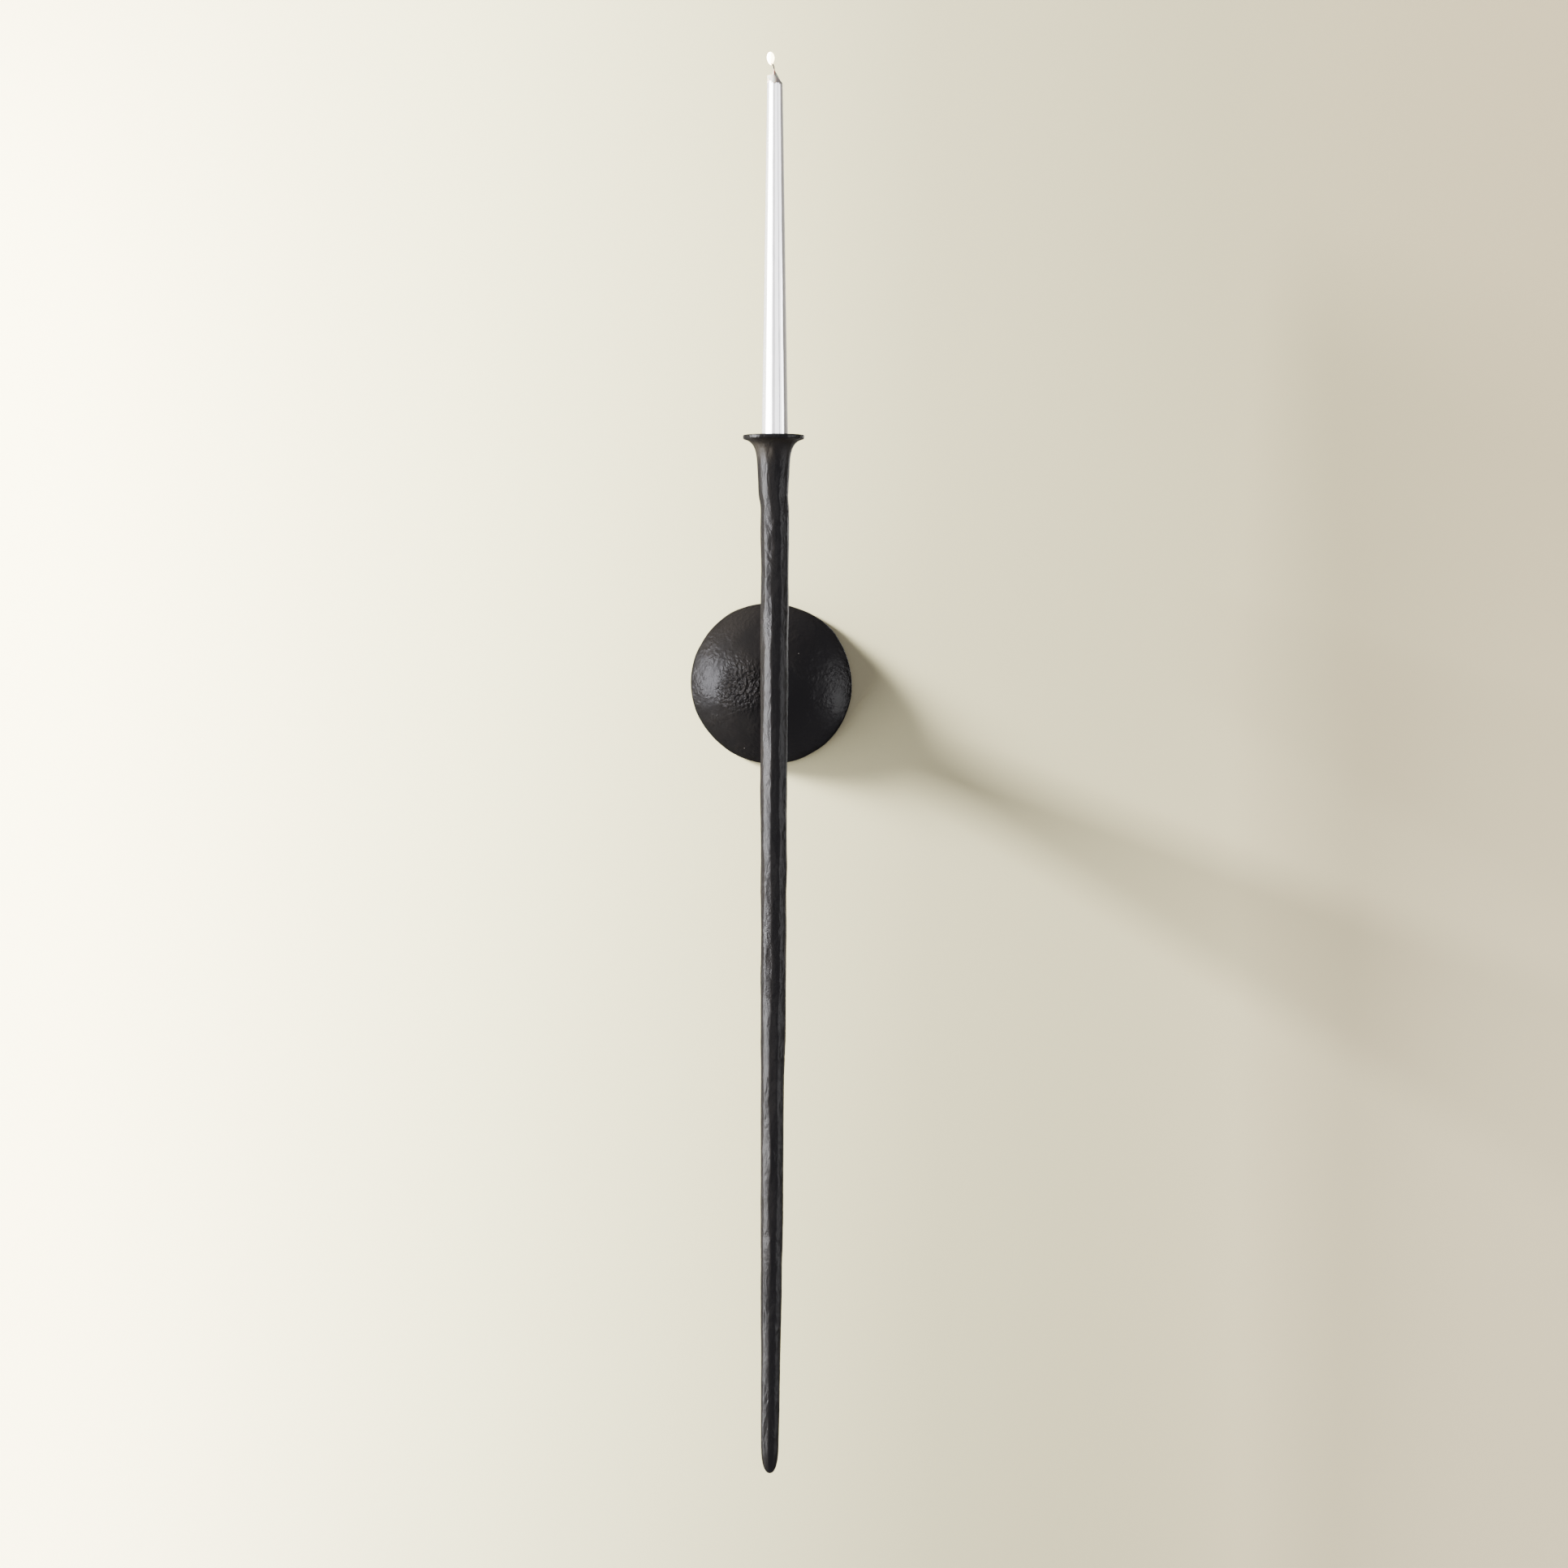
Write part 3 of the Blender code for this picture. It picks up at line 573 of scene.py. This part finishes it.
def make_dome(material):
    """The hand-raised dome, hollow behind, with its boss and the holes for stud and pin."""
    radius = dome_ball()
    centre = dome_centre()

    def arc(ball, inner, outer, count):
        first, last = math.asin(inner / ball), math.asin(outer / ball)
        angles = [first + (last - first) * i / (count - 1) for i in range(count)]
        return [(ball * math.sin(a), centre - ball * math.cos(a)) for a in angles]

    inner_ball = radius - DOME_WALL
    rim_y = DOME_HIGH.y
    rim_inner = math.sqrt(inner_ball ** 2 - (centre - rim_y) ** 2)
    outer = arc(radius, 0, DOME_RADIUS - 0.5 * MM, 60)
    edge = bezier((DOME_RADIUS - 0.12 * MM, -DOME_EDGE + 0.4 * MM),
                  (DOME_RADIUS, -DOME_EDGE + 0.8 * MM),
                  (DOME_RADIUS, rim_y - 0.4 * MM), (DOME_RADIUS - 0.5 * MM, rim_y), 7)
    inner = arc(inner_ball, BOSS_RADIUS + 1.5 * MM, rim_inner, 26)[::-1]
    boss = bezier((BOSS_RADIUS + 0.6 * MM, -BOSS_DEPTH - 4.4 * MM),
                  (BOSS_RADIUS, -BOSS_DEPTH - 3.5 * MM),
                  (BOSS_RADIUS, -BOSS_DEPTH), (BOSS_RADIUS - 0.8 * MM, -BOSS_DEPTH), 7)
    boss += [(6 * MM, -BOSS_DEPTH), (0, -BOSS_DEPTH)]
    bm = turned(outer + edge + inner + boss, Y_AXIS, DOME_STEPS)
    for vert in bm.verts:
        spot = vert.co
        reach = math.hypot(spot.x, spot.z)
        turn = math.atan2(spot.z, spot.x)
        grow = 1 + (rim_growth(turn) - 1) * smooth(reach, 20 * MM, 60 * MM)
        lump = DOME_LUMP * noise.noise(spot * 26) + DOME_RIPPLE * noise.noise(spot * 80)
        facing = smooth(-spot.y, 2 * MM, 9 * MM) * smooth(reach, 16 * MM, 24 * MM)
        spot.x *= grow
        spot.z *= grow
        spot.y += lump * facing
    bmesh.ops.translate(bm, verts=bm.verts, vec=(DOME_X, 0, DOME_Z))
    obj = settle("raised_dome", bm, material, "sconce", "cast_dome_iron", "dome_back_plate",
                 angle=28)
    drill(obj, STUD_HOLE, 0.0)
    drill(obj, PIN_HOLE, PIN_Z)


def drill(obj, radius, z):
    """Cut a round hole through a piece along Y, at a height."""
    front = -50 * MM
    bm = turned([(0, front), (radius, front), (radius, 0.0), (0, 0.0)], Y_AXIS, 40)
    bmesh.ops.translate(bm, verts=bm.verts, vec=(0, 0, z))
    bit = new_object("drill", bm)
    modifier = obj.modifiers.new("drill", "BOOLEAN")
    modifier.object = bit
    modifier.solver = "EXACT"
    graph = bpy.context.evaluated_depsgraph_get()
    holed = bpy.data.meshes.new_from_object(obj.evaluated_get(graph))
    obj.modifiers.remove(modifier)
    obj.data = holed
    bpy.data.objects.remove(bit)


# ---------------------------------------------------------------- candle, wick and flame

WAX_FOOT = CANDLE_HIGH.z - 10.6 * MM       # where the bare wax begins
WAX_RADIUS = 6.2 * MM
CANDLE_FOOT = 9.9 * MM
CANDLE_AT_MOUTH = 10.4 * MM
CANDLE_AT_RIM = 10.34 * MM
SKIN_RINGS = 60
STUB_RINGS = 8
CAP_RINGS = 14
CANDLE_STEPS = 72
WICK_RADIUS = 0.62 * MM
WICK_SIDES = 24
FLAME_FOOT = 3.9 * MM                      # above the top of the wax
FLAME_HEIGHT = 10.6 * MM
FLAME_SWELL = 7.1 * MM                     # the flame is 0.84 of this wide at its widest
FLAME_SIDE = 3.1 * MM                      # how far the flame stands to the candle's left
FLAME_STEPS = 32


def wax_top(x, y):
    """Height of the burned tip: a ledge on the left, a peak at the wick, a slope on the right."""
    ledge = CANDLE_HIGH.z - 3.9 * MM
    peak = CANDLE_HIGH.z + 0.6 * MM
    across = (x + 0.9 * MM) / MM
    if across < 0.4:
        top = ledge + (peak - ledge) * smooth(across, -1.0, -0.3)
    else:
        top = peak - 1.76 * MM * (across - 0.4)
    ridge = math.exp(-(y / (3.4 * MM)) ** 2)
    low = ledge - max(0.0, across) * 0.9 * MM
    return low + (top - low) * ridge + 0.35 * MM * noise.noise(Vector((x, y, 0.4)) * 600)


def make_candle(material):
    """The taper, turned, with its torn silver edge and a burned wax tip that leans to one side."""
    foot_z = CANDLE_LOW.z
    mouth_z = RIM_Z - DISH_DEPTH
    foot = [(0, foot_z), (8.6 * MM, foot_z), (9.5 * MM, foot_z + 0.3 * MM),
            (CANDLE_FOOT, foot_z + 1 * MM)]
    body = [(CANDLE_AT_MOUTH, mouth_z), (CANDLE_AT_MOUTH, mouth_z + 4 * MM)]
    for i in range(SKIN_RINGS + 1):
        share = i / SKIN_RINGS
        body.append((CANDLE_AT_RIM + (WAX_RADIUS - CANDLE_AT_RIM) * share,
                     RIM_Z + (WAX_FOOT - RIM_Z) * share))
    # The wax is turned as a short stub, and its rings are then set to the height of its top
    stub = [(WAX_RADIUS * (1 - 0.05 * i / STUB_RINGS), WAX_FOOT + i / STUB_RINGS * MM)
            for i in range(1, STUB_RINGS + 1)]
    cap = [(WAX_RADIUS * 0.93 * (1 - i / CAP_RINGS), WAX_FOOT + (1 + 0.001 * i) * MM)
           for i in range(CAP_RINGS + 1)]
    bm = turned(foot + body + stub + cap, Z_AXIS, CANDLE_STEPS)
    for vert in bm.verts:
        share = min(1.0, (vert.co.z - WAX_FOOT) / MM)
        if share > 0:
            top = wax_top(vert.co.x, vert.co.y)
            reach = math.hypot(vert.co.x, vert.co.y) / WAX_RADIUS
            ease = 0.5 * MM * smooth(reach, 0.82, 0.97) * share
            vert.co.z = WAX_FOOT + share * (top - WAX_FOOT) - ease
            lump = 1 + 0.035 * noise.noise(vert.co * 320)
            vert.co.x *= lump
            vert.co.y *= lump
        vert.co.x += CANDLE_X
        vert.co.y += STEM_Y
    settle("taper_candle", bm, material, "candle", "silver_candle_wax", "candle")


def wick_path():
    """The wick's route, out of the wax's peak and over to the left."""
    foot = Vector((CANDLE_X - 0.6 * MM, STEM_Y, CANDLE_HIGH.z - 2 * MM))
    top = Vector((CANDLE_X - 3.2 * MM, STEM_Y - 2.2 * MM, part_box("wick")[1].z - 0.6 * MM))
    return interpolate_bezier(foot, foot + Z_AXIS * 4.2 * MM,
                              top + Vector((2.0 * MM, 0, -0.4 * MM)), top, 40)


def make_wick(material):
    """A wick of braided cotton: a round cord with three strands twisted into it."""
    path = wick_path()
    bm = bmesh.new()
    ring = bmesh.ops.create_circle(bm, cap_ends=True, radius=1.0, segments=WICK_SIDES)["verts"]
    rings = [ring]
    face = bm.faces[:][0]
    for _ in path[1:]:
        grown = bmesh.ops.extrude_discrete_faces(bm, faces=[face])["faces"][0]
        rings.append(list(grown.verts))
        face = grown
    for number, (place, verts) in enumerate(zip(path, rings)):
        taper = 1 - 0.35 * smooth(number, len(path) - 8, len(path))
        for vert, angle in zip(verts, (math.tau * i / WICK_SIDES for i in range(WICK_SIDES))):
            strand = 1 - 0.16 * abs(math.sin(1.5 * angle + number * 0.35))
            radius = WICK_RADIUS * strand * taper
            vert.co = place + Vector((math.cos(angle), math.sin(angle), 0)) * radius
    bmesh.ops.recalc_face_normals(bm, faces=bm.faces)
    settle("braided_wick", bm, material, "candle", "wick_cotton", "wick")


def make_flame(material):
    """A small egg of flame beside the wick's tip, widest above its middle."""
    foot = CANDLE_HIGH.z + FLAME_FOOT
    outline = []
    for i in range(FLAME_STEPS + 1):
        share = i / FLAME_STEPS
        radius = FLAME_SWELL * share ** 0.72 * (1 - share) ** 0.55
        outline.append((radius if 0 < i < FLAME_STEPS else 0, foot + FLAME_HEIGHT * share))
    bm = turned(outline, Z_AXIS, 40)
    for vert in bm.verts:
        share = (vert.co.z - foot) / FLAME_HEIGHT
        vert.co.x += CANDLE_X - FLAME_SIDE - 0.5 * MM * share
        vert.co.y += STEM_Y
    settle("candle_flame", bm, material, "candle", "candle_flame")


# ---------------------------------------------------------------- arm and hardware

PLATE_EASE = 0.3 * MM
SMALL_EASE = 0.15 * MM


def copied(name, node, material, body, slot, width=0.0, angle=40):
    """A copy of a CAD node, its sharp edges eased by a width, which stands for it."""
    bm = bmesh.new()
    bm.from_mesh(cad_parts[node].data)
    bmesh.ops.remove_doubles(bm, verts=bm.verts, dist=2e-6)
    bmesh.ops.dissolve_limit(bm, angle_limit=math.radians(2), verts=bm.verts, edges=bm.edges)
    if width:
        sharp = [e for e in bm.edges if len(e.link_faces) == 2
                 and e.calc_face_angle(0) > math.radians(50)]
        bmesh.ops.bevel(bm, geom=sharp, offset=width, segments=2, profile=0.5,
                        affect="EDGES", material=-1, clamp_overlap=True)
    settle(name, bm, material, body, slot, node, angle=angle)


# ---------------------------------------------------------------- the room

VIEW_DISTANCE = 5.0
VIEW_WIDTH = 1.246             # what the view takes in at the stem's distance
VIEW_X = 7.6 * MM
VIEW_Z = -80.3 * MM
SENSOR = 36.0
WALL_Y = 0.8 * MM              # the wall stands this far behind the bracket's back face
ROOM_HALF = 3.0
CEILING_Z = 2.2
FLOOR_Z = -1.05
SUN_WARM = (1.0, 0.985, 0.95)
SKY_COOL = (0.93, 0.93, 1.0)
AIR_TINT = (0.94, 0.90, 1.0, 1)
AIR_FILL = 0.58                # how bright the room's air is for matt surfaces
AIR_SEEN = 3.0                 # for the eye
AIR_IN_GLOSS = 1.35            # in reflections
WINDOW_REACH = 2.1
SILK_REACH = 1.6


def make_camera():
    """A long lens, square to the wall."""
    data = bpy.data.cameras.new("camera")
    data.sensor_width = SENSOR
    data.lens = SENSOR * VIEW_DISTANCE / VIEW_WIDTH
    data.clip_start = 0.1
    camera = bpy.data.objects.new("camera", data)
    camera.location = (VIEW_X, STEM_Y - VIEW_DISTANCE, VIEW_Z)
    camera.rotation_euler = (math.pi / 2, 0, 0)
    bpy.context.collection.objects.link(camera)
    bpy.context.scene.camera = camera


def panel(name, place, aim, size, power, colour=(1, 1, 1), glossy=True, diffuse=True):
    """A rectangular soft light at a place, facing a point."""
    data = bpy.data.lights.new(name, "AREA")
    data.shape = "RECTANGLE"
    data.size, data.size_y = size
    data.energy = power
    data.color = colour
    light = bpy.data.objects.new(name, data)
    light.location = place
    light.rotation_euler = (Vector(aim) - Vector(place)).to_track_quat("-Z", "Y").to_euler()
    light.visible_glossy = glossy
    light.visible_diffuse = diffuse
    light.visible_camera = False
    bpy.context.collection.objects.link(light)
    return light


def make_plane(name, material, corners):
    """A flat part of the room."""
    bm = bmesh.new()
    bm.faces.new([bm.verts.new(corner) for corner in corners])
    obj = new_object(name, bm)
    obj.data.materials.append(material)
    return obj


def card(name, place, aim, size, radiance, colour=(1, 1, 1)):
    """A glowing card that only shows in gloss, given by how bright it looks."""
    power = radiance * math.pi * size[0] * size[1]
    return panel(name, place, aim, size, power, colour, diffuse=False)


def link_only(light, *names):
    """Let a light fall on a few pieces only."""
    chosen = bpy.data.collections.new(f"{light.name}_pieces")
    for name in names:
        chosen.objects.link(bpy.data.objects[name])
    light.light_linking.receiver_collection = chosen


def make_air():
    """The room's own light: dim on matt surfaces, bright to the eye, in between for gloss."""
    world = bpy.data.worlds.new("room")
    world.use_nodes = True
    tree = world.node_tree
    background = tree.nodes["Background"]
    background.inputs["Color"].default_value = AIR_TINT
    ray = tree.nodes.new("ShaderNodeLightPath")
    to_eye = tree.nodes.new("ShaderNodeMapRange")
    to_eye.inputs["To Min"].default_value = AIR_FILL
    to_eye.inputs["To Max"].default_value = AIR_SEEN
    tree.links.new(ray.outputs["Is Camera Ray"], to_eye.inputs["Value"])
    to_gloss = tree.nodes.new("ShaderNodeMapRange")
    to_gloss.inputs["To Max"].default_value = AIR_IN_GLOSS
    tree.links.new(to_eye.outputs["Result"], to_gloss.inputs["To Min"])
    tree.links.new(ray.outputs["Is Glossy Ray"], to_gloss.inputs["Value"])
    tree.links.new(to_gloss.outputs["Result"], background.inputs["Strength"])
    bpy.context.scene.world = world


def card_round(name, turn, span, reach, middle_y, z, aim, height, radiance, colour=(1, 1, 1)):
    """A card on a circle round a middle, by its direction and span in degrees from the front."""
    place = (reach * math.sin(math.radians(turn)),
             middle_y - reach * math.cos(math.radians(turn)), z)
    width = 2 * reach * math.tan(math.radians(span / 2))
    return card(name, place, aim, (width, height), radiance, colour)


def make_room():
    """The wall, the floor and every light."""
    wide = ROOM_HALF
    wall = make_plane("wall", wall_paint_and_painted_light(), [
        (-wide, WALL_Y, FLOOR_Z), (wide, WALL_Y, FLOOR_Z),
        (wide, WALL_Y, CEILING_Z), (-wide, WALL_Y, CEILING_Z)])
    wall.visible_shadow = False
    floor = make_plane("floor", floor_paint(), [
        (-wide, -5, FLOOR_Z), (wide, -5, FLOOR_Z), (wide, 3, FLOOR_Z), (-wide, 3, FLOOR_Z)])
    floor.visible_glossy = False
    floor.visible_diffuse = False
    make_air()
    # The soft window light, grazing the wall from the upper left
    panel("key", (-3.2, -0.62, 1.62), (0.10, -0.05, -0.10), (0.65, 0.75), 2900, SUN_WARM,
          glossy=False)
    # A tall strip beside the wall, which brightens its left side
    panel("wash", (-0.76, -0.25, -0.58), (0.24, -0.10, -0.58), (0.10, 2.2), 48, SUN_WARM,
          glossy=False)
    # What the gloss sees: the window and its dimmer side, a card to the right and one in front
    for name, turn, span, radiance in (("window", -70, 15, 38), ("window_side", -53, 19, 5.0)):
        card_round(name, turn, span, WINDOW_REACH, 0.0, 0.22, (0, -0.06, 0.0), 1.35, radiance,
                   SKY_COOL)
    card("right_card", (1.95, -0.60, -0.15), (0, -0.08, 0.0), (0.8, 1.4), 6.0)
    front = card("front_card", (0.30, -3.0, 0.1), (0, -0.1, 0.1), (0.45, 1.6), 4.0)
    link_only(front, "forged_stem", "raised_dome")
    # A slim strip by the wall, for the ridges of the stem alone
    strip = card("ridge_strip", (-2.0, -0.26, -0.1), (0, STEM_Y, -0.1), (0.24, 1.9), 75)
    link_only(strip, "forged_stem")
    # White cards held round the candle, for its silver skin alone
    for name, turn, span, radiance in (("left_silk", -60, 62, 16), ("middle_silk", 19, 38, 3.1),
                                       ("right_silk", 64, 34, 3.2)):
        silk = card_round(name, turn, span, SILK_REACH, STEM_Y, 0.42, (0, STEM_Y, 0.35), 1.2,
                          radiance)
        link_only(silk, "taper_candle")
    # This one lights the hollow dome for someone looking from behind the wall
    panel("behind", (0.5, 1.3, 0.5), (0, 0, 0), (1.0, 1.0), 60)


# ---------------------------------------------------------------- the sconce

make_camera()
iron = forged_iron()
zinc = zinc_plate()
black = powder_coat()
make_stem(iron)
make_dome(dome_iron())
make_candle(candle_skin())
make_wick(charred_cotton())
make_flame(flame_light())
copied("forged_arm", "arm", iron, "sconce", "forged_iron")
copied("hanger_plate", "hanger_strap", black, "sconce", "black_sheet_steel", PLATE_EASE, angle=20)
copied("bracket_plate", "wall_bracket", black, "bracket", "black_sheet_steel", PLATE_EASE,
       angle=20)
for node in ("tie_stud", "locating_pin", "flat_washer", "lock_washer", "stud_nut"):
    copied(f"{node}_part", node, zinc, "sconce", "zinc_plated_steel", SMALL_EASE, angle=20)

make_room()
